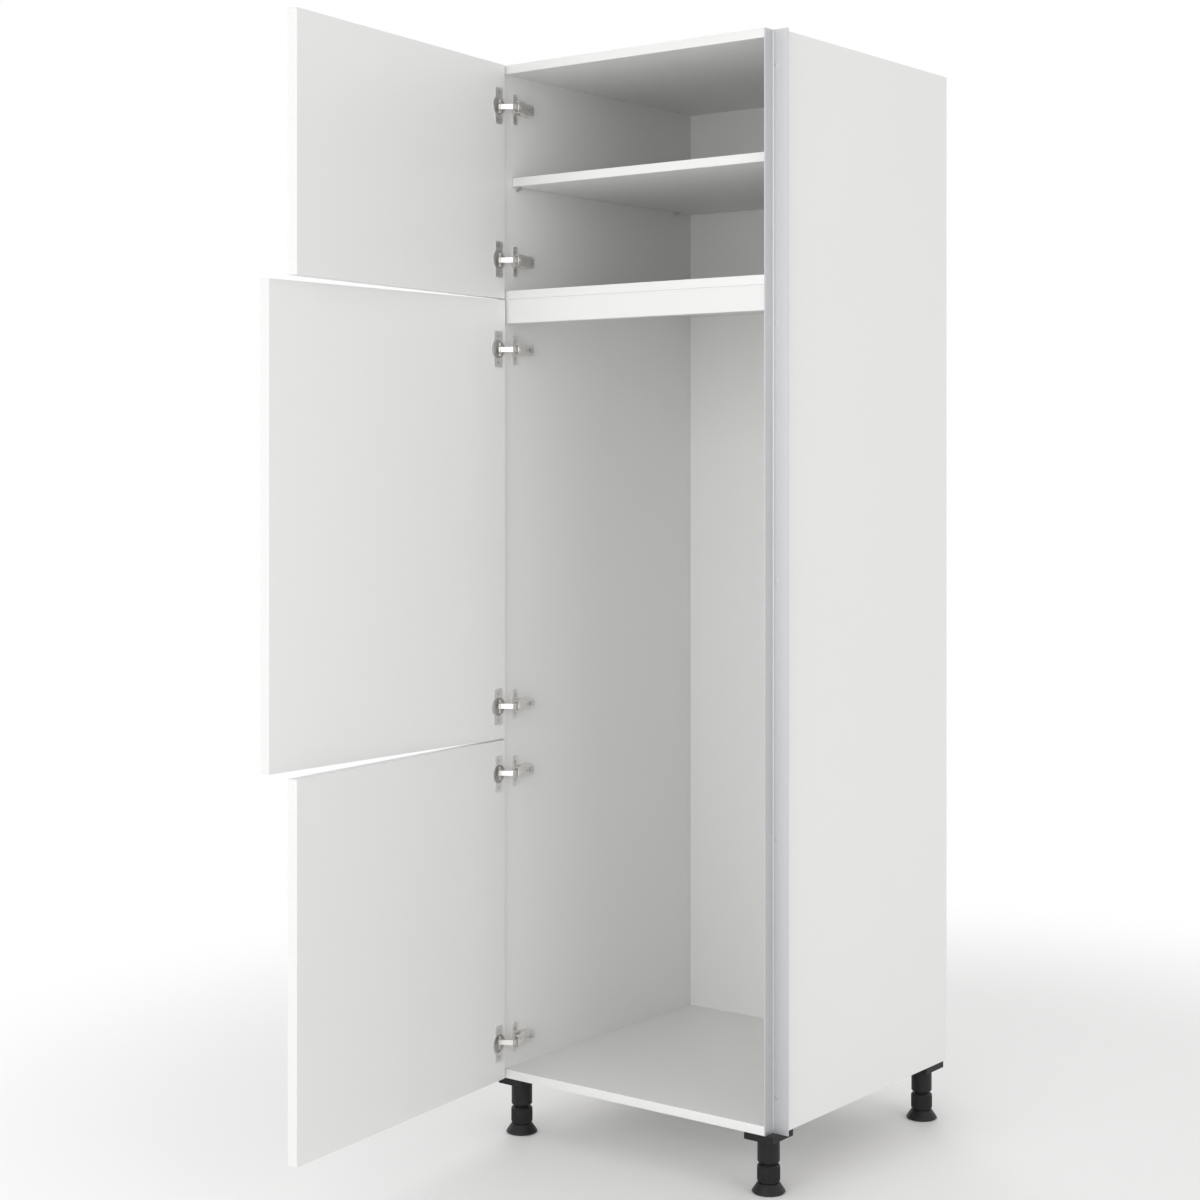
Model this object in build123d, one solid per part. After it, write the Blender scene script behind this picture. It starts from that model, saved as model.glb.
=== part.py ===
from build123d import *
from math import cos, radians, sin
import os

# Tall fridge housing cabinet with three left-hung doors on concealed hinges, an upright grip
# profile at the right and four levelling feet. X runs right, Y into the cabinet, Z up, in mm.
# The origin is the middle of the back's lower edge, at the wall and level with the carcass's
# underside. The doors are modelled standing open.

# Carcass
carcass_width = 600.0
carcass_depth = 600.0
carcass_height = 1850.0
board = 16.0
back_board = 8.0
back_rebate = 8.0
back_play = 0.5
edge_break = 0.5
overrun = 2.0

# Top compartment over the appliance: its front's height, the rail under it and the loose
# shelf in it, whose height is a share of the compartment's
top_front_height = 428.0
rail_height = 43.5
rail_setback = 1.5
shelf_height_share = 0.4874
shelf_setback = 24.0
shelf_end_play = 1.0
shelf_back_play = 2.0

# Shelf supports: a pin in the side with a spoon-shaped rest under the shelf
support_pin_radius = 2.5
support_pin_length = 9.0
support_hole_depth = 10.0
support_fit = 0.05
support_rest_length = 9.0
support_rest_width = 11.0
support_rest_thickness = 4.0
support_inset_front = 37.0
support_inset_back = 64.0

# Dowels that join the boards
dowel_radius = 4.0
dowel_length = 30.0
dowel_in_side = 11.0
dowel_hole_play = 1.0
dowel_fit = 0.05
dowel_inset = 80.0

# Grip profile: an angle of aluminium let into the front of the right side
grip_depth = 26.0
grip_reach = 16.0
grip_wall = 2.0
grip_inner_radius = 1.5
grip_screw_count = 5
grip_screw_inset = 60.0

# Doors
door_thickness = 19.0
door_gap = 2.0
door_reveal = 1.5
door_joint = 3.0
door_grip_overlap = 8.0
door_edge_break = 0.8
lower_door_line = 620.0
wide_open_angle = 84.0
middle_open_angle = 90.0

# Hinge places, from the ends of each door
top_door_upper_inset = 77.0
top_door_lower_inset = 70.0
middle_door_upper_inset = 90.0
middle_door_lower_inset = 59.0
bottom_door_upper_inset = 60.0
bottom_door_lower_inset = 68.0

# Hinge cup, sunk in the door
cup_radius = 17.5
cup_depth = 12.0
cup_wall = 1.0
cup_fit = 0.1
cup_edge_distance = 3.0
flange_length = 66.0
flange_width = 23.0
flange_thickness = 1.2
flange_corner = 5.0
collar_radius = 19.0
collar_inner_radius = 16.5
cup_screw_spacing = 48.0

# Hinge link and its two pins, with the door shut
cup_pin_inset = 10.35
cup_pin_depth = 4.5
arm_pin_height = 26.0
arm_pin_setback = 12.0
link_per_door_turn = 0.211
link_width = 9.0
link_thickness = 2.0
link_eye_radius = 3.0
link_lead_angle = 13.3
link_lead_length = 24.0
pin_radius = 1.5
pin_fit = 0.05
cup_pin_length = 24.0

# Hinge arm: a bent channel over the plate
arm_width = 20.0
arm_wall = 1.2
arm_front = 6.0
arm_front_height = 31.0
arm_knee_front = 22.0
arm_knee_back = 38.0
arm_back = 64.0
arm_back_height = 19.0
arm_cheek = 10.0
arm_slot_width = 6.6
arm_slot_length = 12.0
arm_screw_setback = 55.0
side_screw_setback = 43.0

# Hinge plate: a saddle with two wings, screwed to the side
plate_front = 22.0
plate_back = 62.0
plate_base_height = 7.8
plate_saddle_play = 0.2
wing_front = 24.0
wing_back = 35.0
wing_span = 55.0
wing_height = 3.0
wing_corner = 4.0
plate_screw_spacing = 32.0

# Screws: countersunk wood screws, and flat-headed ones in the hinges with a driver's cross
screw_head_radius = 3.6
screw_head_height = 1.6
screw_shank_radius = 1.6
screw_shank_length = 12.0
screw_fit = 0.1
machine_head_radius = 4.2
machine_head_height = 2.2
machine_shank_radius = 2.4
driver_slot_width = 1.2
driver_slot_depth = 0.9
driver_reach_share = 0.62

# Levelling feet
foot_height = 105.0
foot_inset_side = 30.0
foot_inset_front = 35.0
foot_inset_back = 42.0
socket_width = 58.0
socket_length = 68.0
socket_height = 12.0
socket_corner = 4.0
socket_screw_side_spacing = 22.0
socket_screw_depth_spacing = 52.0
socket_screw_seat = 2.0
tube_radius = 19.0
tube_bore_radius = 13.0
stem_fit = 0.07
tube_bottom = 53.0
tube_edge = 1.5
tube_top_wall = 3.0
neck_height = 3.0
sleeve_radius = 19.0
sleeve_bevel = 2.0
sleeve_height = 28.0
neck_radius = 15.5
stem_top = 20.0
base_radius = 28.5
base_rim = 5.0
base_waist_radius = 19.0
base_height = 17.0
base_hollow_radius = 22.0
base_hollow_depth = 2.0

x_left = -carcass_width / 2
x_right = carcass_width / 2
y_front = -carcass_depth
y_back = 0.0
y_middle = (y_front + y_back) / 2
inner_left = x_left + board
inner_right = x_right - board
door_width = carcass_width - board - door_reveal + door_grip_overlap
fixed_shelf_underside = carcass_height - top_front_height
fixed_shelf_top = fixed_shelf_underside + board
top_space = carcass_height - board - fixed_shelf_top
shelf_underside = fixed_shelf_top + shelf_height_share * top_space
upper_door_line = fixed_shelf_underside
cup_centre_inset = cup_edge_distance + cup_radius
low_corner = (Align.MIN, Align.MIN, Align.MIN)
flat_on_base = (Align.CENTER, Align.CENTER, Align.MIN)


def block(low, high):
    """A box between two corners."""
    size = [b - a for a, b in zip(low, high)]
    return Pos(*low) * Box(*size, align=low_corner)


def rod(place, radius, length, turn=Rot(0, 0, 0)):
    """A cylinder that starts at place and runs along the turned Z axis."""
    return Pos(*place) * turn * Cylinder(radius, length, align=flat_on_base)


toward_right = Rot(0, 90, 0)
toward_left = Rot(0, -90, 0)
toward_front = Rot(90, 0, 0)
toward_back = Rot(-90, 0, 0)


def group(solids):
    """Separate solids kept together in one node."""
    return Compound(children=list(solids))


def cut_all(body, tools):
    """The body with every tool taken out of it."""
    for tool in tools:
        body = body - tool
    return body


def broken_front(body, y, amount):
    """Breaks the edges that lie on the plane at y."""
    edges = body.edges().filter_by_position(Axis.Y, y - edge_break / 2, y + edge_break / 2)
    return chamfer(edges, amount)


def dowel_rows():
    """Height of each board that is doweled into the sides, with its dowels' depths."""
    rows = []
    for underside in (0.0, fixed_shelf_underside, carcass_height - board):
        for y in (y_front + dowel_inset, y_middle, y_back - dowel_inset):
            rows.append((y, underside + board / 2))
    return rows


def dowels():
    made = []
    for y, z in dowel_rows():
        made.append(rod((inner_left - dowel_in_side, y, z), dowel_radius, dowel_length, toward_right))
        made.append(rod((inner_right + dowel_in_side, y, z), dowel_radius, dowel_length, toward_left))
    return made


def dowel_holes():
    """Each dowel's hole, in the side and in the board's end as one run."""
    holes = []
    radius = dowel_radius + dowel_fit
    length = dowel_length + 2 * dowel_hole_play
    reach = dowel_in_side + dowel_hole_play
    for y, z in dowel_rows():
        holes.append(rod((inner_left - reach, y, z), radius, length, toward_right))
        holes.append(rod((inner_right + reach, y, z), radius, length, toward_left))
    return holes


def support_places():
    """The four shelf supports: the side they stand in, their depth and their height."""
    z = shelf_underside - support_rest_thickness
    front = y_front + support_inset_front
    back = y_back - support_inset_back
    return [(side, y, z) for side in (-1, 1) for y in (front, back)]


def support_holes():
    radius = support_pin_radius + support_fit
    holes = []
    for side, y, z in support_places():
        face = side * (inner_right)
        turn = toward_right if side > 0 else toward_left
        holes.append(rod((face, y, z + support_pin_radius - support_rest_thickness), radius,
                         support_hole_depth, turn))
    return holes


def shelf_supports():
    made = []
    for side, y, z in support_places():
        face = side * inner_right
        turn = toward_right if side > 0 else toward_left
        pin = rod((face, y, z + support_pin_radius - support_rest_thickness), support_pin_radius,
                  support_pin_length, turn)
        inward = face - side * support_rest_length
        rest = block((min(face, inward), y - support_rest_width / 2, z),
                     (max(face, inward), y + support_rest_width / 2, z + support_rest_thickness))
        below = z + 2 * support_pin_radius - 2 * support_rest_thickness
        heel = block((min(face, face - side * support_rest_thickness), y - support_pin_radius, below),
                     (max(face, face - side * support_rest_thickness), y + support_pin_radius, z))
        made.append(pin + rest + heel)
    return made


def side_panel(side):
    """A side board: +1 is the right one, whose front stands back behind the grip profile."""
    outer = side * x_right
    inner = side * inner_right
    front = y_front + (grip_depth if side > 0 else 0.0)
    panel = block((min(outer, inner), front, 0.0), (max(outer, inner), y_back, carcass_height))
    rebate_deep = inner + side * back_rebate
    rebate = block((min(inner, rebate_deep), y_back - back_board, -overrun),
                   (max(inner, rebate_deep), y_back + overrun, carcass_height + overrun))
    panel = broken_front(panel - rebate, front, edge_break)
    tools = dowel_holes() + support_holes()
    tools += grip_screw_holes() if side > 0 else plate_screw_holes()
    return cut_all(panel, tools)


def level_board(underside, rear):
    """A board between the sides, doweled to both."""
    made = block((inner_left, y_front, underside), (inner_right, rear, underside + board))
    made = broken_front(made, y_front, edge_break)
    return cut_all(made, dowel_holes())


def bottom_panel():
    made = level_board(0.0, y_back - back_board)
    return cut_all(made, socket_screw_holes())


def top_panel():
    return level_board(carcass_height - board, y_back - back_board)


def fixed_shelf():
    return level_board(fixed_shelf_underside, y_back - back_board)


def front_rail():
    """The rail that closes the gap over the appliance."""
    front = y_front + rail_setback
    made = block((inner_left, front, fixed_shelf_underside - rail_height),
                 (inner_right, front + board, fixed_shelf_underside))
    return broken_front(made, front, edge_break)


def back_panel():
    """The back wall, lying in the rebates of the sides and over the boards' rear ends."""
    reach = back_rebate - back_play
    return block((inner_left - reach, y_back - back_board, 0.0),
                 (inner_right + reach, y_back, carcass_height))


def adjustable_shelf():
    made = block((inner_left + shelf_end_play, y_front + shelf_setback, shelf_underside),
                 (inner_right - shelf_end_play, y_back - back_board - shelf_back_play,
                  shelf_underside + board))
    return broken_front(made, y_front + shelf_setback, edge_break)


def screw(place, turn):
    """A countersunk wood screw whose head's face is at place and whose shank runs along turn."""
    head = Cone(screw_head_radius, screw_shank_radius, screw_head_height, align=flat_on_base)
    return Pos(*place) * turn * head + rod(place, screw_shank_radius, screw_shank_length, turn)


def cross_slot(body, place, turn, head_radius):
    """The driver's cross, cut in a head's face."""
    arm = 2 * head_radius * driver_reach_share
    bar = Box(arm, driver_slot_width, 2 * driver_slot_depth)
    cross = bar + Rot(0, 0, 90) * bar
    return body - Pos(*place) * turn * cross


def screw_hole(place, turn):
    """The countersunk hole that a wood screw fills."""
    shank_hole = screw_shank_radius + screw_fit
    sink = Cone(screw_head_radius + screw_fit, shank_hole, screw_head_height, align=flat_on_base)
    return Pos(*place) * turn * sink + rod(place, shank_hole, screw_shank_length + screw_fit, turn)


def grip_screw_places():
    x = inner_right + board / 2
    y = y_front + grip_depth - grip_wall
    step = (carcass_height - 2 * grip_screw_inset) / (grip_screw_count - 1)
    return [(x, y, grip_screw_inset + step * i) for i in range(grip_screw_count)]


def grip_screw_holes():
    return [screw_hole(place, toward_back) for place in grip_screw_places()]


def grip_screws():
    return [screw(place, toward_back) for place in grip_screw_places()]


def grip_profile():
    """The grip angle: a leg beside the opening and a web across the side's front edge."""
    leg = block((inner_right, y_front, 0.0),
                (inner_right + grip_wall, y_front + grip_depth, carcass_height))
    web = block((inner_right, y_front + grip_depth - grip_wall, 0.0),
                (x_right + grip_reach, y_front + grip_depth, carcass_height))
    profile = leg + web
    corner = profile.edges().filter_by(Axis.Z).sort_by_distance(
        (inner_right + grip_wall, y_front + grip_depth - grip_wall, carcass_height / 2))[0]
    profile = fillet(corner, grip_inner_radius)
    return cut_all(profile, grip_screw_holes())


# Each door: its name, its two ends, its hinges' insets and how far it stands open
door_table = {
    "top": (upper_door_line + door_joint / 2, carcass_height,
            top_door_lower_inset, top_door_upper_inset, wide_open_angle),
    "middle": (lower_door_line + door_joint / 2, upper_door_line - door_joint / 2,
               middle_door_lower_inset, middle_door_upper_inset, middle_open_angle),
    "bottom": (0.0, lower_door_line - door_joint / 2,
               bottom_door_lower_inset, bottom_door_upper_inset, wide_open_angle),
}

arm_pin = (inner_left + arm_pin_height, y_front + arm_pin_setback)
shut_cup_pin = (x_left + door_reveal + cup_pin_inset, y_front - door_gap - cup_pin_depth)
door_face = y_front - door_gap
door_edge = x_left + door_reveal
cup_x = door_edge + cup_centre_inset


def hinge_heights(name):
    low, high, lower_inset, upper_inset, _ = door_table[name]
    return {"lower": low + lower_inset, "upper": high - upper_inset}


def all_hinge_heights():
    return [z for name in door_table for z in hinge_heights(name).values()]


def link_location(angle):
    """Where a link of the shut door goes when the door stands open by angle."""
    swing = Rot(0, 0, link_per_door_turn * angle)
    return Pos(*arm_pin, 0.0) * swing * Pos(-arm_pin[0], -arm_pin[1], 0.0)


def door_location(angle):
    """Where a shut door's piece goes when the door stands open by angle."""
    dx, dy = shut_cup_pin[0] - arm_pin[0], shut_cup_pin[1] - arm_pin[1]
    swing = radians(link_per_door_turn * angle)
    pin_x = arm_pin[0] + dx * cos(swing) - dy * sin(swing)
    pin_y = arm_pin[1] + dx * sin(swing) + dy * cos(swing)
    shut_to_pin = Pos(-shut_cup_pin[0], -shut_cup_pin[1], 0.0)
    return Pos(pin_x, pin_y, 0.0) * Rot(0, 0, -angle) * shut_to_pin


def door_board(name):
    """A door, with the two blind holes for its cups."""
    low, high, _, _, _ = door_table[name]
    made = block((door_edge, door_face - door_thickness, low),
                 (door_edge + door_width, door_face, high))
    made = chamfer(made.edges(), door_edge_break)
    holes = [rod((cup_x, door_face, z), cup_radius + cup_fit, cup_depth + cup_fit, toward_front)
             for z in hinge_heights(name).values()]
    holes += [screw_hole(place, toward_front) for place in cup_screw_places(name)]
    return cut_all(made, holes)


def cup_screw_places(name):
    places = []
    for z in hinge_heights(name).values():
        for side in (-1, 1):
            places.append((cup_x, door_face + flange_thickness, z + side * cup_screw_spacing / 2))
    return places


def hinge_cup(name, z):
    """A pressed cup: its bowl in the door, its flange and collar on the door's face."""
    bowl = rod((cup_x, door_face, z), cup_radius, cup_depth, toward_front)
    flange_face = RectangleRounded(flange_width, flange_length, flange_corner) + Circle(collar_radius)
    flange = Pos(cup_x, door_face, z) * toward_back * extrude(flange_face, flange_thickness)
    hollow = rod((cup_x, door_face + flange_thickness + overrun, z), collar_inner_radius,
                 cup_depth - cup_wall + flange_thickness + overrun, toward_front)
    cup = bowl + flange - hollow
    pin_hole = rod((*shut_cup_pin, z - cup_pin_length / 2), pin_radius, cup_pin_length)
    holes = [screw_hole(place, toward_front) for place in cup_screw_places(name)
             if abs(place[2] - z) < flange_length]
    return cut_all(cup - pin_hole, holes)


def cup_pin(z):
    return rod((*shut_cup_pin, z - cup_pin_length / 2), pin_radius, cup_pin_length)


def hinge_link(z):
    """The link: two eyes and a bent web, low inside the cup and rising to the arm's pin."""
    low = z - link_width / 2
    lead = radians(link_lead_angle)
    knee = (shut_cup_pin[0] + link_lead_length * cos(lead),
            shut_cup_pin[1] + link_lead_length * sin(lead))
    made = rod((*shut_cup_pin, low), link_eye_radius, link_width)
    made += rod((*arm_pin, low), link_eye_radius, link_width)
    made += rod((*knee, low), link_thickness / 2, link_width)
    for start, end in ((shut_cup_pin, knee), (knee, arm_pin)):
        made += web_between(start, end, low)
    for pin in (shut_cup_pin, arm_pin):
        made -= rod((*pin, low - overrun), pin_radius + pin_fit, link_width + 2 * overrun)
    return made


def web_between(start, end, low):
    """A flat web of the link from one point to another."""
    run = Vector(end[0] - start[0], end[1] - start[1], 0.0)
    turn = Vector(1, 0, 0).get_signed_angle(run, Vector(0, 0, 1))
    bar = Box(run.length, link_thickness, link_width, align=(Align.MIN, Align.CENTER, Align.MIN))
    return Pos(*start, low) * Rot(0, 0, turn) * bar


def arm_side(drop, foot_drop):
    """The arm's side outline: its top lowered by drop and its cheeks' foot by foot_drop."""
    top = [(arm_front, arm_front_height), (arm_knee_front, arm_front_height),
           (arm_knee_back, arm_back_height), (arm_back, arm_back_height)]
    points = [(inner_left + h - drop, y_front + y) for y, h in top]
    points += [(inner_left + h - arm_cheek - foot_drop, y_front + y) for y, h in reversed(top)]
    return make_face(Polyline(*points, close=True))


def hinge_arm(z):
    """The arm: a channel, deep at the front where it holds the link's pin."""
    outer = Pos(0, 0, z - arm_width / 2) * extrude(arm_side(0.0, 0.0), arm_width)
    inner_width = arm_width - 2 * arm_wall
    inner = Pos(0, 0, z - inner_width / 2) * extrude(arm_side(arm_wall, overrun), inner_width)
    arm = outer - inner
    arm -= rod((*arm_pin, z - arm_width / 2 - overrun), pin_radius, arm_width + 2 * overrun)
    slot = SlotOverall(arm_slot_length, arm_slot_width)
    top = inner_left + arm_back_height
    slot_cut = Pos(top + overrun, y_front + arm_screw_setback, z) * toward_left * Rot(0, 0, 90) \
        * extrude(slot, arm_wall + 2 * overrun)
    arm -= slot_cut
    arm -= rod((top + overrun, y_front + side_screw_setback, z), machine_shank_radius + screw_fit,
               arm_wall + 2 * overrun, toward_left)
    return arm


def arm_pin_rod(z):
    return rod((*arm_pin, z - arm_width / 2), pin_radius, arm_width)


def hinge_plate(z):
    """The mounting plate: a saddle that the arm sits over, and two wings for its screws."""
    saddle_width = arm_width - 2 * arm_wall - 2 * plate_saddle_play
    saddle_top = arm_back_height - arm_wall
    base = block((inner_left, y_front + plate_front, z - arm_width / 2),
                 (inner_left + plate_base_height, y_front + plate_back, z + arm_width / 2))
    saddle = block((inner_left, y_front + arm_knee_back, z - saddle_width / 2),
                   (inner_left + saddle_top, y_front + plate_back, z + saddle_width / 2))
    wing_face = RectangleRounded(wing_span, wing_back - wing_front, wing_corner)
    wings = Pos(inner_left, y_front + (wing_front + wing_back) / 2, z) * toward_right \
        * extrude(wing_face, wing_height)
    plate = base + saddle + wings
    holes = [screw_hole(place, toward_left) for place in plate_screw_places([z])]
    holes += [rod((inner_left + saddle_top + overrun, y_front + y, z), machine_shank_radius,
                  machine_shank_length(), toward_left) for y in (arm_screw_setback, side_screw_setback)]
    return cut_all(plate, holes)


def machine_shank_length():
    return arm_back_height - plate_base_height / 2


def plate_screw_places(heights):
    y = y_front + (wing_front + wing_back) / 2
    x = inner_left + wing_height
    half = plate_screw_spacing / 2
    return [(x, y, z + side * half) for z in heights for side in (-1, 1)]


def plate_screw_holes():
    return [screw_hole(place, toward_left) for place in plate_screw_places(all_hinge_heights())]


def plate_screws():
    return [screw(place, toward_left) for place in plate_screw_places(all_hinge_heights())]


def arm_screws():
    """The depth screw on each arm's slot and the side screw in front of it."""
    made = []
    for z in all_hinge_heights():
        top = inner_left + arm_back_height
        place = (top + machine_head_height, y_front + arm_screw_setback, z)
        head = rod(place, machine_head_radius, machine_head_height, toward_left)
        shank = rod(place, machine_shank_radius, machine_shank_length(), toward_left)
        made.append(cross_slot(head + shank, place, toward_left, machine_head_radius))
        side = (top, y_front + side_screw_setback, z)
        worm = rod(side, machine_shank_radius, machine_shank_length() - overrun, toward_left)
        made.append(cross_slot(worm, side, toward_left, machine_shank_radius))
    return made


def foot_places():
    """The four feet: name, X and Y."""
    side = x_right - foot_inset_side
    front = y_front + foot_inset_front
    back = y_back - foot_inset_back
    return {"front_left": (-side, front), "front_right": (side, front),
            "back_left": (-side, back), "back_right": (side, back)}


def socket_screw_places():
    places = []
    for x, y in foot_places().values():
        for sx in (-1, 1):
            for sy in (-1, 1):
                places.append((x + sx * socket_screw_side_spacing / 2,
                               y + sy * socket_screw_depth_spacing / 2, -socket_height))
    return places


def socket_screw_sink():
    """How deep the socket's screw heads sit, to leave a thin seat under the board."""
    return socket_height - screw_head_height - socket_screw_seat


def socket_screw_heads():
    return [(x, y, z + socket_screw_sink()) for x, y, z in socket_screw_places()]


def socket_screw_holes():
    return [screw_hole(place, Rot(0, 0, 0)) for place in socket_screw_heads()]


def socket_screws():
    return [screw(place, Rot(0, 0, 0)) for place in socket_screw_heads()]


def foot_socket(x, y):
    """The socket plate under the carcass, with a well for each screw."""
    face = RectangleRounded(socket_width, socket_length, socket_corner)
    made = Pos(x, y, -socket_height) * extrude(face, socket_height)
    well_depth = socket_screw_sink() + overrun
    for head in socket_screw_heads():
        if abs(head[0] - x) < socket_width and abs(head[1] - y) < socket_length:
            well_foot = (head[0], head[1], head[2] - well_depth)
            made -= rod(well_foot, screw_head_radius + screw_fit, well_depth)
            made -= screw_hole(head, Rot(0, 0, 0))
    return made


def foot_tube(x, y):
    """The upper tube, plugged to the socket, threaded inside for the stem."""
    height = tube_bottom - socket_height
    tube = rod((x, y, -tube_bottom), tube_radius, height)
    tube = chamfer(tube.edges().sort_by(Axis.Z)[0], tube_edge)
    bore_length = height - tube_top_wall + overrun
    return tube - rod((x, y, -tube_bottom - overrun), tube_bore_radius, bore_length)


def foot_stem(x, y):
    """The adjusting foot: stem, gripping sleeve and flared base, turned as one."""
    floor = -foot_height
    stem_radius = tube_bore_radius - stem_fit
    sleeve_low = floor + base_height + neck_height
    outline = [
        (0.0, floor + base_hollow_depth), (base_hollow_radius, floor + base_hollow_depth),
        (base_hollow_radius, floor), (base_radius - base_rim / 2, floor),
        (base_radius, floor + base_rim / 2), (base_radius - base_rim / 4, floor + base_rim),
        (base_waist_radius, floor + base_height), (neck_radius, floor + base_height),
        (neck_radius, sleeve_low), (sleeve_radius, sleeve_low),
        (sleeve_radius, sleeve_low + sleeve_height - sleeve_bevel),
        (sleeve_radius - sleeve_bevel, sleeve_low + sleeve_height),
        (stem_radius, sleeve_low + sleeve_height), (stem_radius, -stem_top), (0.0, -stem_top),
    ]
    face = make_face(Polyline(*[(r, 0.0, h) for r, h in outline], close=True))
    return Pos(x, y, 0) * revolve(face, Axis.Z)


def build():
    nodes = {
        "left_side_panel": side_panel(-1),
        "right_side_panel": side_panel(1),
        "top_panel": top_panel(),
        "bottom_panel": bottom_panel(),
        "fixed_shelf": fixed_shelf(),
        "front_rail": front_rail(),
        "back_panel": back_panel(),
        "adjustable_shelf": adjustable_shelf(),
        "shelf_supports": group(shelf_supports()),
        "carcass_dowels": group(dowels()),
        "grip_profile": grip_profile(),
        "grip_profile_screws": group(grip_screws()),
        "hinge_plate_screws": group(plate_screws()),
        "hinge_arm_screws": group(arm_screws()),
        "hinge_arm_pins": group(arm_pin_rod(z) for z in all_hinge_heights()),
        "foot_socket_screws": group(socket_screws()),
        "foot_sockets": group(foot_socket(x, y) for x, y in foot_places().values()),
        "foot_tubes": group(foot_tube(x, y) for x, y in foot_places().values()),
    }
    for name, (_, _, _, _, angle) in door_table.items():
        with_door = door_location(angle)
        with_link = link_location(angle)
        nodes[name + "_door"] = with_door * door_board(name)
        heights = hinge_heights(name)
        nodes[name + "_door_cup_pins"] = group(with_door * cup_pin(z) for z in heights.values())
        nodes[name + "_door_cup_screws"] = group(
            with_door * screw(place, toward_front) for place in cup_screw_places(name))
        for end, z in heights.items():
            nodes[f"{name}_door_{end}_hinge_cup"] = with_door * hinge_cup(name, z)
            nodes[f"{name}_door_{end}_hinge_link"] = with_link * hinge_link(z)
            nodes[f"{name}_door_{end}_hinge_arm"] = hinge_arm(z)
            nodes[f"{name}_door_{end}_hinge_plate"] = hinge_plate(z)
    for name, (x, y) in foot_places().items():
        nodes[name + "_adjusting_foot"] = foot_stem(x, y)
    return nodes


def report_joints():
    """Prints the joint axes, in the cabinet's own frame."""
    print("arm pin", [round(v, 3) for v in arm_pin])
    for name, (_, _, _, _, angle) in door_table.items():
        pin = (door_location(angle) * Pos(*shut_cup_pin, 0.0)).position
        print(name, "cup pin", round(pin.X, 3), round(pin.Y, 3), "heights", hinge_heights(name))
    print("feet", foot_places())


os.makedirs("parts", exist_ok=True)
for node, shape in build().items():
    export_step(shape, f"parts/{node}.step")
report_joints()
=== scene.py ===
from math import pi, radians

import bmesh
import bpy
from mathutils import Matrix, Vector


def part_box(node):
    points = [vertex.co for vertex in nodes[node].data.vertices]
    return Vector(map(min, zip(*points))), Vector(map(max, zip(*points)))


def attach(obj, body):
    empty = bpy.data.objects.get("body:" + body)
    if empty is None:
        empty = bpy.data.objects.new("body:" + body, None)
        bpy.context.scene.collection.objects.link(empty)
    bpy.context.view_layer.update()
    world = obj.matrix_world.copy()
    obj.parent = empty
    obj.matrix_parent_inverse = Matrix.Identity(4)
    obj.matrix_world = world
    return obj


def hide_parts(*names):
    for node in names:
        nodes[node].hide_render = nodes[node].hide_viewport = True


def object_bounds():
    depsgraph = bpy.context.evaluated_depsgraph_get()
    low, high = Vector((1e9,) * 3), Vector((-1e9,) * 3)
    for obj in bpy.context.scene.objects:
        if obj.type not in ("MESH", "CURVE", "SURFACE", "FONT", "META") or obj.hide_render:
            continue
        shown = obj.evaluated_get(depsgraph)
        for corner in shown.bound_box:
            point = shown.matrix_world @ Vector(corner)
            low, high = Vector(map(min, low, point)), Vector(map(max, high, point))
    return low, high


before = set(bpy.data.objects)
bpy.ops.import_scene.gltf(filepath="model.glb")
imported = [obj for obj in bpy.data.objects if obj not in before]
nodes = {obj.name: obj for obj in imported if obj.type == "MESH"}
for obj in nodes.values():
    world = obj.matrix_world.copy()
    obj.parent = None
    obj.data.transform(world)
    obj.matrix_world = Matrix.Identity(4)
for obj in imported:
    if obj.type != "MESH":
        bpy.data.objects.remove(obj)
cad_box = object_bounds()


# Camera
# The photograph is a drawing in true perspective. The eye is level, in front and to the right,
# and the picture is shifted down so that the cabinet's uprights stay upright.
camera_place = (2.268, -3.622, 1.120)
camera_turn = 37.63
camera_sensor, camera_lens = 36.0, 64.815
camera_shift = -0.1125

bpy.ops.object.select_all(action="DESELECT")
bpy.ops.object.camera_add(location=camera_place, rotation=(radians(90), 0, radians(camera_turn)))
camera = bpy.context.object
camera.data.sensor_width = camera_sensor
camera.data.lens = camera_lens
camera.data.shift_y = camera_shift
bpy.context.scene.camera = camera
bpy.context.scene.view_settings.view_transform = "Standard"


# Floor and surroundings
# A matt studio floor in a pale grey, wide enough for its edge to stay out of sight. It keeps
# the cabinet's shadow near the feet and turns white farther off, for the eye and reflections.
floor_colour = (0.90, 0.90, 0.895, 1.0)
floor_roughness = 0.75
floor_radius, floor_sides = 40.0, 96
shadow_near, shadow_far = 0.75, 2.0
sky_white = (1.0, 1.0, 1.0, 1.0)
sky_fill = 0.72


def new_material(name):
    """A node material with nothing but its shader, and the shader itself."""
    material = bpy.data.materials.new(name)
    material.use_nodes = True
    return material, material.node_tree, material.node_tree.nodes["Principled BSDF"]


def add_node(tree, kind, **settings):
    """A node of one kind, with its settings."""
    node = tree.nodes.new(kind)
    for name, value in settings.items():
        setattr(node, name, value)
    return node


def add_math(tree, operation, first, second):
    """Two values put together; each is a socket or a number."""
    node = add_node(tree, "ShaderNodeMath", operation=operation)
    for socket, value in zip(node.inputs, (first, second)):
        if isinstance(value, (int, float)):
            socket.default_value = value
        else:
            tree.links.new(value, socket)
    return node.outputs[0]


def seen_directly(tree):
    """1 for rays from the eye, from a mirror or through glass, and 0 for light on surfaces."""
    path = add_node(tree, "ShaderNodeLightPath")
    seen = add_math(tree, "ADD", path.outputs["Is Camera Ray"], path.outputs["Is Glossy Ray"])
    return add_math(tree, "MINIMUM", add_math(tree, "ADD", seen, path.outputs["Is Transmission Ray"]), 1.0)


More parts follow.
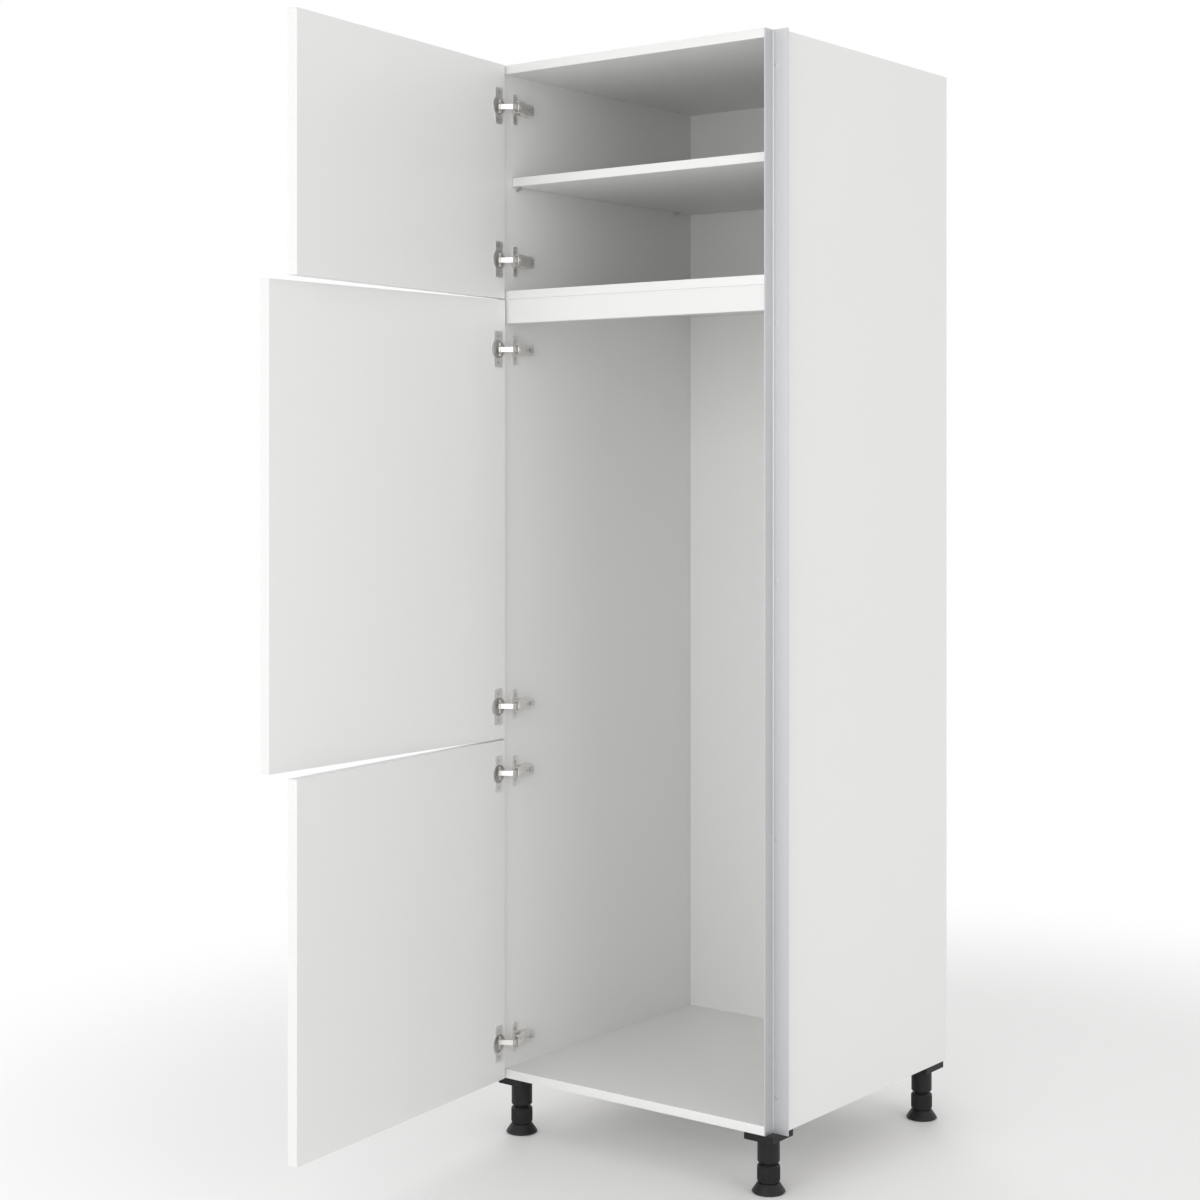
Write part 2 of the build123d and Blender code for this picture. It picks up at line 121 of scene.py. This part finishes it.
bpy.ops.object.select_all(action="DESELECT")
bpy.ops.mesh.primitive_circle_add(vertices=floor_sides, radius=floor_radius, fill_type="NGON",
                                  location=(0, 0, cad_box[0].z))
floor = bpy.context.object
floor.name = "studio_floor"
floor_paint, tree, shader = new_material("studio floor")
shader.inputs["Base Color"].default_value = floor_colour
shader.inputs["Roughness"].default_value = floor_roughness
place = add_node(tree, "ShaderNodeTexCoord")
away = add_node(tree, "ShaderNodeVectorMath", operation="LENGTH")
tree.links.new(place.outputs["Object"], away.inputs[0])
fade = add_node(tree, "ShaderNodeMapRange", interpolation_type="SMOOTHSTEP")
fade.inputs["From Min"].default_value = shadow_near
fade.inputs["From Max"].default_value = shadow_far
tree.links.new(away.outputs["Value"], fade.inputs["Value"])
white = add_node(tree, "ShaderNodeEmission")
mix = add_node(tree, "ShaderNodeMixShader")
tree.links.new(add_math(tree, "MULTIPLY", fade.outputs["Result"], seen_directly(tree)), mix.inputs["Fac"])
tree.links.new(shader.outputs[0], mix.inputs[1])
tree.links.new(white.outputs[0], mix.inputs[2])
tree.links.new(mix.outputs[0], tree.nodes["Material Output"].inputs["Surface"])
floor.data.materials.append(floor_paint)

world = bpy.data.worlds.new("studio")
world.use_nodes = True
bpy.context.scene.world = world
tree = world.node_tree
sky = tree.nodes["Background"]
extra = add_math(tree, "MULTIPLY", seen_directly(tree), 1.0 - sky_fill)
tree.links.new(add_math(tree, "ADD", sky_fill, extra), sky.inputs["Strength"])
sky.inputs["Color"].default_value = sky_white


# Lamps
# Three soft boxes: a low key from the front, which reaches into the compartments, a weaker one
# from the right, so that inner faces, edges and side differ, and one for the back and the left.
key_place, key_aim, key_size, key_watts = (0.6, -4.6, 1.5), (0.0, -0.3, 1.3), (3.2, 2.8), 57.0
side_place, side_aim, side_size, side_watts = (4.4, -1.2, 1.5), (0.2, -0.3, 1.0), (3.0, 2.8), 30.0
rear_place, rear_aim, rear_size, rear_watts = (-2.6, 3.4, 2.6), (-0.2, -0.3, 0.9), (2.2, 2.2), 36.0


def soft_box(name, place, aim, size, watts):
    """An upright area lamp at place that points at aim."""
    bpy.ops.object.select_all(action="DESELECT")
    bpy.ops.object.light_add(type="AREA", location=place)
    lamp = bpy.context.object
    lamp.name = name
    lamp.data.shape = "RECTANGLE"
    lamp.data.size, lamp.data.size_y = size
    lamp.data.energy = watts
    lamp.rotation_euler = (Vector(aim) - Vector(place)).to_track_quat("-Z", "Y").to_euler()


soft_box("key_lamp", key_place, key_aim, key_size, key_watts)
soft_box("side_lamp", side_place, side_aim, side_size, side_watts)
soft_box("rear_lamp", rear_place, rear_aim, rear_size, rear_watts)


# Carcass boards
# White melamine-faced chipboard, 16 mm thick, with a fine pressed texture: two sides, top,
# bottom, fixed shelf, rail and back. The sides' ends and rear edges are sawn and left raw.
board_white = (0.82, 0.82, 0.81, 1.0)
board_roughness, board_relief = 0.42, 0.00004
board_finish = {"tone_drift": 0.03, "drift_scale": 2.0, "relief_scale": 1100.0}
chip_tan = (0.50, 0.36, 0.22, 1.0)
chip_dark = (0.30, 0.20, 0.115, 1.0)
chip_scale = 520.0
raw_from, raw_roughness = 0.9, 0.85


def surface_group():
    """Shared by every finish: a slow drift of tone, a finer drift of gloss, and fine relief."""
    group = bpy.data.node_groups.new("surface_finish", "ShaderNodeTree")
    for name, kind, default in (
        ("Color", "NodeSocketColor", (0.8, 0.8, 0.8, 1.0)),
        ("Tone Drift", "NodeSocketFloat", 0.02),
        ("Roughness", "NodeSocketFloat", 0.4),
        ("Gloss Drift", "NodeSocketFloat", 0.04),
        ("Drift Scale", "NodeSocketFloat", 3.0),
        ("Relief Scale", "NodeSocketFloat", 900.0),
        ("Stretch", "NodeSocketVector", (1.0, 1.0, 1.0)),
    ):
        socket = group.interface.new_socket(name, in_out="INPUT", socket_type=kind)
        socket.default_value = default
    for name, kind in (("Color", "NodeSocketColor"), ("Roughness", "NodeSocketFloat"),
                       ("Height", "NodeSocketFloat")):
        group.interface.new_socket(name, in_out="OUTPUT", socket_type=kind)
    given = add_node(group, "NodeGroupInput")
    result = add_node(group, "NodeGroupOutput")
    place = add_node(group, "ShaderNodeTexCoord")
    stretched = add_node(group, "ShaderNodeVectorMath", operation="MULTIPLY")
    group.links.new(place.outputs["Object"], stretched.inputs[0])
    group.links.new(given.outputs["Stretch"], stretched.inputs[1])
    drift = add_node(group, "ShaderNodeTexNoise")
    drift.inputs["Detail"].default_value = 3.0
    relief = add_node(group, "ShaderNodeTexNoise")
    relief.inputs["Detail"].default_value = 2.0
    for noise, scale in ((drift, "Drift Scale"), (relief, "Relief Scale")):
        group.links.new(stretched.outputs[0], noise.inputs["Vector"])
        group.links.new(given.outputs[scale], noise.inputs["Scale"])
    lean = add_math(group, "SUBTRACT", drift.outputs["Fac"], 0.5)
    tone = add_math(group, "ADD", 1.0, add_math(group, "MULTIPLY", lean, given.outputs["Tone Drift"]))
    toned = add_node(group, "ShaderNodeVectorMath", operation="SCALE")
    group.links.new(given.outputs["Color"], toned.inputs[0])
    group.links.new(tone, toned.inputs["Scale"])
    gloss = add_math(group, "MULTIPLY", add_math(group, "SUBTRACT", relief.outputs["Fac"], 0.5),
                     given.outputs["Gloss Drift"])
    group.links.new(toned.outputs[0], result.inputs["Color"])
    group.links.new(add_math(group, "ADD", given.outputs["Roughness"], gloss), result.inputs["Roughness"])
    group.links.new(relief.outputs["Fac"], result.inputs["Height"])
    return group


surface_finish = surface_group()


def finished_material(name, colour, roughness, relief_depth, **finish):
    """A material that takes its colour, gloss and relief from the shared finish."""
    material, tree, shader = new_material(name)
    surface = add_node(tree, "ShaderNodeGroup", node_tree=surface_finish)
    surface.inputs["Color"].default_value = colour
    surface.inputs["Roughness"].default_value = roughness
    for socket, value in finish.items():
        surface.inputs[socket.replace("_", " ").title()].default_value = value
    bump = add_node(tree, "ShaderNodeBump")
    bump.inputs["Distance"].default_value = relief_depth
    tree.links.new(surface.outputs["Height"], bump.inputs["Height"])
    tree.links.new(surface.outputs["Color"], shader.inputs["Base Color"])
    tree.links.new(surface.outputs["Roughness"], shader.inputs["Roughness"])
    tree.links.new(bump.outputs["Normal"], shader.inputs["Normal"])
    return material, tree, shader, surface


def paint(material, *names):
    """Gives CAD nodes their finish."""
    for name in names:
        slots = nodes[name].data.materials
        slots.clear()
        slots.append(material)


def blend_colour(tree, share, first, second):
    """One colour that goes from first to second; each is a socket or a colour."""
    mix = add_node(tree, "ShaderNodeMix", data_type="RGBA")
    tree.links.new(share, mix.inputs["Factor"])
    for socket, value in ((mix.inputs["A"], first), (mix.inputs["B"], second)):
        if isinstance(value, tuple):
            socket.default_value = value
        else:
            tree.links.new(value, socket)
    return mix.outputs["Result"]


board_paint = finished_material("white melamine", board_white, board_roughness, board_relief,
                                **board_finish)[0]
paint(board_paint, "top_panel", "bottom_panel", "fixed_shelf", "front_rail", "back_panel",
      "adjustable_shelf")

side_paint, tree, shader, surface = finished_material(
    "white melamine with raw ends", board_white, board_roughness, board_relief, **board_finish)
place = add_node(tree, "ShaderNodeTexCoord")
facing = add_node(tree, "ShaderNodeSeparateXYZ")
tree.links.new(place.outputs["Normal"], facing.inputs[0])
upright = add_math(tree, "ABSOLUTE", facing.outputs["Z"], 0.0)
raw = add_math(tree, "GREATER_THAN", add_math(tree, "MAXIMUM", upright, facing.outputs["Y"]), raw_from)
chips = add_node(tree, "ShaderNodeTexVoronoi")
chips.inputs["Scale"].default_value = chip_scale
tree.links.new(place.outputs["Object"], chips.inputs["Vector"])
core = blend_colour(tree, chips.outputs["Color"], chip_dark, chip_tan)
tree.links.new(blend_colour(tree, raw, surface.outputs["Color"], core), shader.inputs["Base Color"])
rough = add_math(tree, "MAXIMUM", surface.outputs["Roughness"],
                 add_math(tree, "MULTIPLY", raw, raw_roughness))
tree.links.new(rough, shader.inputs["Roughness"])
paint(side_paint, "left_side_panel", "right_side_panel")


# Edge bands
# White plastic bands, 0.8 mm thick, glued over the boards' front edges and trimmed round at
# their own edges. The right side has none: the grip profile covers its front.
band_white = (0.83, 0.83, 0.82, 1.0)
band_roughness, band_relief = 0.36, 0.00002
band_thickness, band_stand, band_inset = 0.0008, 0.0001, 0.00004
band_round, band_steps = 0.00045, 3
near = 1e-5


def new_block(name, low, high):
    """A block between two corners, with its place in its mesh."""
    low, high = Vector(low), Vector(high)
    bpy.ops.object.select_all(action="DESELECT")
    bpy.ops.mesh.primitive_cube_add(size=1.0, location=(low + high) / 2)
    piece = bpy.context.object
    piece.name = name
    piece.scale = high - low
    bpy.ops.object.transform_apply(location=True, rotation=True, scale=True)
    return piece


def select_parts(piece, kind, test):
    """In edit mode, selects the edges or faces whose middle passes the test."""
    bpy.ops.mesh.select_mode(type=kind)
    bpy.ops.mesh.select_all(action="DESELECT")
    shape = bmesh.from_edit_mesh(piece.data)
    for part in shape.edges if kind == "EDGE" else shape.faces:
        if test(sum((corner.co for corner in part.verts), Vector()) / len(part.verts)):
            part.select_set(True)
    shape.select_flush_mode()
    bmesh.update_edit_mesh(piece.data)


def round_edges(piece, width, segments, test):
    """Rounds the edges whose middle passes the test."""
    bpy.ops.object.mode_set(mode="EDIT")
    select_parts(piece, "EDGE", test)
    bpy.ops.mesh.bevel(offset=width, segments=segments, affect="EDGES")
    bpy.ops.object.mode_set(mode="OBJECT")


def dress(piece, material, body, smooth=35):
    """Gives a new piece its smooth shading, its finish and its body."""
    bpy.ops.object.select_all(action="DESELECT")
    piece.select_set(True)
    bpy.context.view_layer.objects.active = piece
    bpy.ops.object.shade_smooth_by_angle(angle=radians(smooth))
    piece.data.materials.clear()
    piece.data.materials.append(material)
    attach(piece, body)


band_paint = finished_material("white edge band", band_white, band_roughness, band_relief,
                               tone_drift=0.02, drift_scale=4.0, relief_scale=700.0)[0]
for board_name in ("left_side_panel", "top_panel", "bottom_panel", "fixed_shelf", "adjustable_shelf"):
    low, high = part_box(board_name)
    face = low.y - band_stand
    band = new_block(board_name + "_band", (low.x + band_inset, face, low.z + band_inset),
                     (high.x - band_inset, low.y + band_thickness, high.z - band_inset))
    round_edges(band, band_round, band_steps, lambda middle: abs(middle.y - face) < near)
    dress(band, band_paint, "root")


# Grip profile
# An extruded aluminium angle, anodised in a satin silver grey and let into the front of the
# right side. The doors' free edges stand short of it, and fingers reach in behind them.
profile_grey = (0.60, 0.605, 0.615, 1.0)
profile_roughness, profile_relief, profile_metal = 0.44, 0.00002, 0.82

profile_paint, _, shader, _ = finished_material(
    "anodised aluminium", profile_grey, profile_roughness, profile_relief,
    tone_drift=0.05, gloss_drift=0.12, drift_scale=60.0, relief_scale=1500.0, stretch=(1.0, 1.0, 0.02))
shader.inputs["Metallic"].default_value = profile_metal
paint(profile_paint, "grip_profile")


# Doors
# Three fronts, 19 mm thick with eased edges, in a white satin finish on both faces. They hang
# at the left on two concealed hinges each and stand open, as the photograph has them.
front_white = (0.84, 0.84, 0.835, 1.0)
front_roughness, front_relief = 0.34, 0.00003

front_paint = finished_material("white satin front", front_white, front_roughness, front_relief,
                                tone_drift=0.02, drift_scale=1.5, relief_scale=500.0)[0]
paint(front_paint, "top_door", "middle_door", "bottom_door")


# Hinges
# Concealed hinges of pressed steel, nickel-plated: cup, link, arm and mounting plate. Each arm
# has a pressed bead over its pin and a short sprung tab at its rear end, and each cup holds two
# coil springs on its pin, which pull the door shut.
nickel_white, nickel_roughness, nickel_metal = (0.82, 0.805, 0.78, 1.0), 0.42, 0.93
zinc_grey, zinc_roughness, zinc_metal = (0.66, 0.67, 0.68, 1.0), 0.32, 1.0
plated_relief = 0.00001

nickel, _, shader, _ = finished_material(
    "bright nickel", nickel_white, nickel_roughness, plated_relief,
    tone_drift=0.08, gloss_drift=0.10, drift_scale=40.0, relief_scale=900.0)
shader.inputs["Metallic"].default_value = nickel_metal
fixings = [name for name in nodes if "screws" in name or "pins" in name]
paint(nickel, *[name for name in nodes if "_hinge_" in name and name not in fixings])

zinc, _, shader, _ = finished_material(
    "zinc-plated steel", zinc_grey, zinc_roughness, plated_relief,
    tone_drift=0.12, gloss_drift=0.15, drift_scale=90.0, relief_scale=1400.0)
shader.inputs["Metallic"].default_value = zinc_metal
paint(zinc, *fixings, "shelf_supports")

bead_length, bead_width, bead_stand = 0.0115, 0.0062, 0.0006
bead_setback, bead_steps = 0.0025, 3
bead_end_round, bead_top_round = bead_width / 3, bead_stand * 0.8
tab_width, tab_root, tab_reach, tab_wall = 0.0105, 0.0030, 0.0008, 0.0010
tab_bends = ((0.0007, 0.0008), (0.0012, 0.0003))
tab_round, tab_steps = 0.0003, 2
hinge_names = [name[:-4] for name in nodes if name.endswith("_hinge_arm")]
for hinge in hinge_names:
    low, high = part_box(hinge + "_arm")
    middle_z = (low.z + high.z) / 2
    bead_y = low.y + bead_setback
    bead = new_block(hinge + "_arm_bead",
                     (high.x - bead_stand, bead_y, middle_z - bead_width / 2),
                     (high.x + bead_stand, bead_y + bead_length, middle_z + bead_width / 2))
    round_edges(bead, bead_end_round, bead_steps, lambda middle: abs(middle.x - high.x) < near)
    round_edges(bead, bead_top_round, bead_steps,
                lambda middle: abs(middle.x - high.x - bead_stand) < near)
    dress(bead, nickel, "root")

    rear_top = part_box(hinge + "_plate")[1].x - tab_wall
    tab = new_block(hinge + "_release_tab",
                    (rear_top - tab_wall, high.y - tab_root, middle_z - tab_width / 2),
                    (rear_top, high.y + tab_reach, middle_z + tab_width / 2))
    bpy.ops.object.mode_set(mode="EDIT")
    for rise, reach in tab_bends:
        end = max(corner.co.y for corner in bmesh.from_edit_mesh(tab.data).verts)
        select_parts(tab, "FACE", lambda middle: middle.y > end - near)
        bpy.ops.mesh.extrude_region_move(TRANSFORM_OT_translate={"value": (rise, reach, 0.0)})
    bpy.ops.object.mode_set(mode="OBJECT")
    round_edges(tab, tab_round, tab_steps,
                lambda middle: abs(abs(middle.z - middle_z) - tab_width / 2) < near)
    dress(tab, nickel, "root")

door_angles = {"top": 84.0, "middle": 90.0, "bottom": 84.0}
arm_pin = Vector((-0.258, -0.588, 0.0))
shut_cup_pin = Vector((-0.28815, -0.6065, 0.0))
link_per_door_turn = 0.211
spring_radius, spring_wire, spring_pitch, spring_turns = 0.00195, 0.00034, 0.00082, 4
spring_start = 0.0050
wire_sides, coil_steps = 8, 20
merge_gap = 0.00001


def door_place(door):
    """Where a shut door's piece goes when the door stands open as modelled."""
    angle = door_angles[door]
    link_swing = Matrix.Rotation(radians(link_per_door_turn * angle), 4, "Z")
    door_swing = Matrix.Rotation(radians(-angle), 4, "Z")
    pin = arm_pin + link_swing @ (shut_cup_pin - arm_pin)
    return Matrix.Translation(pin) @ door_swing @ Matrix.Translation(-shut_cup_pin)


def put_in_place(piece, place):
    """Moves a piece that was made at the origin, and leaves its place in its mesh."""
    bpy.ops.object.select_all(action="DESELECT")
    piece.select_set(True)
    bpy.context.view_layer.objects.active = piece
    piece.matrix_world = place
    bpy.ops.object.transform_apply(location=True, rotation=True, scale=True)


def join_copies(name, model, places):
    """Copies a piece that was made at the origin to each place, joined under one name."""
    copies = []
    for place in places:
        copy = model.copy()
        copy.data = model.data.copy()
        bpy.context.collection.objects.link(copy)
        put_in_place(copy, place)
        copies.append(copy)
    bpy.ops.object.select_all(action="DESELECT")
    for copy in copies:
        copy.select_set(True)
    bpy.context.view_layer.objects.active = copies[0]
    bpy.ops.object.join()
    copies[0].name = name
    return copies[0]


bpy.ops.object.select_all(action="DESELECT")
bpy.ops.mesh.primitive_circle_add(vertices=wire_sides, radius=spring_wire,
                                  location=(spring_radius, 0, 0), rotation=(radians(90), 0, 0))
spring = bpy.context.object
bpy.ops.object.transform_apply(location=True, rotation=True, scale=True)
coil = spring.modifiers.new("coil", "SCREW")
coil.axis = "Z"
coil.steps = coil.render_steps = coil_steps
coil.iterations = spring_turns
coil.screw_offset = spring_pitch
bpy.ops.object.modifier_apply(modifier="coil")
bpy.ops.object.mode_set(mode="EDIT")
bpy.ops.mesh.select_all(action="SELECT")
bpy.ops.mesh.remove_doubles(threshold=merge_gap)
bpy.ops.mesh.fill_holes(sides=0)
bpy.ops.mesh.select_all(action="SELECT")
bpy.ops.mesh.normals_make_consistent(inside=False)
bpy.ops.object.mode_set(mode="OBJECT")

cup_heights = {}
spring_starts = (spring_start, -spring_start - spring_pitch * spring_turns)
for door in door_angles:
    boxes = [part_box(name) for name in nodes if name.startswith(door) and name.endswith("_hinge_cup")]
    cup_heights[door] = [(low.z + high.z) / 2 for low, high in boxes]
    places = [door_place(door) @ Matrix.Translation(shut_cup_pin + Vector((0, 0, z + start)))
              for z in cup_heights[door] for start in spring_starts]
    springs = join_copies(door + "_door_cup_springs", spring, places)
    dress(springs, zinc, door + "_door")
bpy.data.objects.remove(spring)


# Screws
# Countersunk wood screws of zinc-plated steel, with a cross for the driver: two to each hinge
# cup and each mounting plate, five in the grip profile and four in each foot's socket.
head_radius, head_height, head_rise = 0.0036, 0.0016, 0.00012
crown_share, tip_share = 0.78, 0.15
shank_radius, shank_length = 0.0016, 0.0120
screw_sides, screw_smooth = 32, 30
cross_span, cross_width, cross_depth, cross_foot_share = 0.0042, 0.0010, 0.0011, 0.45
cup_x, door_face, flange_thickness = -0.278, -0.602, 0.0012
cup_screw_reach, plate_screw_reach = 0.024, 0.016
inner_left, wing_middle, wing_height = -0.284, -0.5705, 0.003
profile_screw_count = 5
socket_screw_x, socket_screw_y = 0.011, 0.026
foot_names = ("front_left", "front_right", "back_left", "back_right")

bpy.ops.object.select_all(action="DESELECT")
bpy.ops.mesh.primitive_cylinder_add(vertices=screw_sides, radius=shank_radius,
                                    depth=shank_length - head_height,
                                    location=(0, 0, -(shank_length + head_height) / 2))
screw = bpy.context.object
bpy.ops.object.transform_apply(location=True, rotation=True, scale=True)
bpy.ops.object.mode_set(mode="EDIT")
select_parts(screw, "FACE", lambda middle: middle.z > -head_height - near)
for rise, share in ((head_height, head_radius / shank_radius), (head_rise, crown_share)):
    bpy.ops.mesh.extrude_region_move(TRANSFORM_OT_translate={"value": (0, 0, rise)})
    bpy.ops.transform.resize(value=(share, share, 1))
select_parts(screw, "FACE", lambda middle: middle.z < near - shank_length)
bpy.ops.mesh.extrude_region_move(TRANSFORM_OT_translate={"value": (0, 0, -shank_radius)})
bpy.ops.transform.resize(value=(tip_share, tip_share, 1))
bpy.ops.object.mode_set(mode="OBJECT")
for turned in (False, True):
    half = Vector((cross_width, cross_span, 0) if turned else (cross_span, cross_width, 0)) / 2
    half.z = cross_depth
    bar = new_block("driver_cross", -half, half)
    bpy.ops.object.mode_set(mode="EDIT")
    select_parts(bar, "FACE", lambda middle: middle.z < near - cross_depth)
    bpy.ops.transform.resize(value=(cross_foot_share, cross_foot_share, 1))
    bpy.ops.object.mode_set(mode="OBJECT")
    bpy.ops.object.select_all(action="DESELECT")
    bpy.context.view_layer.objects.active = screw
    cut = screw.modifiers.new("cross", "BOOLEAN")
    cut.object = bar
    cut.solver = "EXACT"
    bpy.ops.object.modifier_apply(modifier="cross")
    bpy.data.objects.remove(bar)

for door, heights in cup_heights.items():
    places = [door_place(door) @ Matrix.Translation((cup_x, door_face + flange_thickness, z + reach))
              @ Matrix.Rotation(radians(-90), 4, "X")
              for z in heights for reach in (-cup_screw_reach, cup_screw_reach)]
    screws = join_copies(door + "_door_cup_wood_screws", screw, places)
    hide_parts(door + "_door_cup_screws")
    dress(screws, zinc, door + "_door", smooth=screw_smooth)

places = [Matrix.Translation((inner_left + wing_height, wing_middle, z + reach))
          @ Matrix.Rotation(radians(90), 4, "Y")
          for heights in cup_heights.values() for z in heights
          for reach in (-plate_screw_reach, plate_screw_reach)]
screws = join_copies("hinge_plate_wood_screws", screw, places)
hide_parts("hinge_plate_screws")
dress(screws, zinc, "root", smooth=screw_smooth)

low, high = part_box("grip_profile_screws")
step = (high.z - low.z - 2 * head_radius) / (profile_screw_count - 1)
places = [Matrix.Translation(((low.x + high.x) / 2, low.y, low.z + head_radius + step * i))
          @ Matrix.Rotation(radians(90), 4, "X") for i in range(profile_screw_count)]
screws = join_copies("grip_profile_wood_screws", screw, places)
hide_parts("grip_profile_screws")
dress(screws, zinc, "root", smooth=screw_smooth)

places = []
head_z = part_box("foot_socket_screws")[0].z
for foot_name in foot_names:
    low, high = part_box(foot_name + "_adjusting_foot")
    x, y = (low.x + high.x) / 2, (low.y + high.y) / 2
    places += [Matrix.Translation((x + a, y + b, head_z)) @ Matrix.Rotation(pi, 4, "X")
               for a in (-socket_screw_x, socket_screw_x) for b in (-socket_screw_y, socket_screw_y)]
screws = join_copies("foot_socket_wood_screws", screw, places)
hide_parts("foot_socket_screws")
dress(screws, zinc, "root", smooth=screw_smooth)
bpy.data.objects.remove(screw)


# Feet
# Moulded black plastic: socket, tube and adjusting foot. The foot's sleeve has a ring of grip
# ribs for turning it by hand, and the socket a low collar round the tube.
plastic_black = (0.010, 0.010, 0.011, 1.0)
plastic_roughness, plastic_relief, plastic_specular = 0.46, 0.00003, 0.30

black, _, shader, _ = finished_material(
    "black plastic", plastic_black, plastic_roughness, plastic_relief,
    tone_drift=0.25, gloss_drift=0.10, drift_scale=25.0, relief_scale=700.0)
shader.inputs["Specular IOR Level"].default_value = plastic_specular
paint(black, "foot_sockets", "foot_tubes", *[name for name in nodes if "adjusting_foot" in name])

rib_count = 30
rib_stand, rib_width, rib_height = 0.0006, 0.0018, 0.0225
rib_round, rib_steps = rib_stand * 0.7, 2
sleeve_radius, rib_start = 0.019, 0.0215
collar_radius, collar_height, collar_sides = 0.0218, 0.0024, 64
collar_round, collar_steps = collar_height * 0.4, 3
socket_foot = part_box("foot_sockets")[0].z
for foot_name in foot_names:
    low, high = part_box(foot_name + "_adjusting_foot")
    x, y = (low.x + high.x) / 2, (low.y + high.y) / 2
    rib_low = low.z + rib_start
    ribs = new_block(foot_name + "_foot_grip_ribs",
                     (x + sleeve_radius - rib_stand, y - rib_width / 2, rib_low),
                     (x + sleeve_radius + rib_stand, y + rib_width / 2, rib_low + rib_height))
    round_edges(ribs, rib_round, rib_steps,
                lambda middle: middle.x > x + sleeve_radius + rib_stand - near)
    bpy.ops.object.mode_set(mode="EDIT")
    bpy.ops.mesh.select_all(action="SELECT")
    bpy.ops.mesh.spin(steps=rib_count, dupli=True, angle=2 * pi, center=(x, y, rib_low), axis=(0, 0, 1))
    bpy.ops.mesh.select_all(action="SELECT")
    bpy.ops.mesh.remove_doubles(threshold=merge_gap)
    bpy.ops.object.mode_set(mode="OBJECT")
    dress(ribs, black, foot_name + "_foot")

    bpy.ops.object.select_all(action="DESELECT")
    bpy.ops.mesh.primitive_cylinder_add(vertices=collar_sides, radius=collar_radius,
                                        depth=2 * collar_height, location=(x, y, socket_foot))
    collar = bpy.context.object
    collar.name = foot_name + "_socket_collar"
    bpy.ops.object.transform_apply(location=True, rotation=True, scale=True)
    round_edges(collar, collar_round, collar_steps,
                lambda middle: middle.z < socket_foot - collar_height + near)
    dress(collar, black, "root")


# Dowels
# Plain beech pegs, glued into the boards' ends and hidden in the joints.
beech_tan = (0.56, 0.38, 0.22, 1.0)
beech_roughness, beech_relief = 0.55, 0.00005

beech = finished_material(
    "beech", beech_tan, beech_roughness, beech_relief,
    tone_drift=0.25, gloss_drift=0.10, drift_scale=60.0, relief_scale=400.0, stretch=(0.1, 1.0, 1.0))[0]
paint(beech, "carcass_dowels")
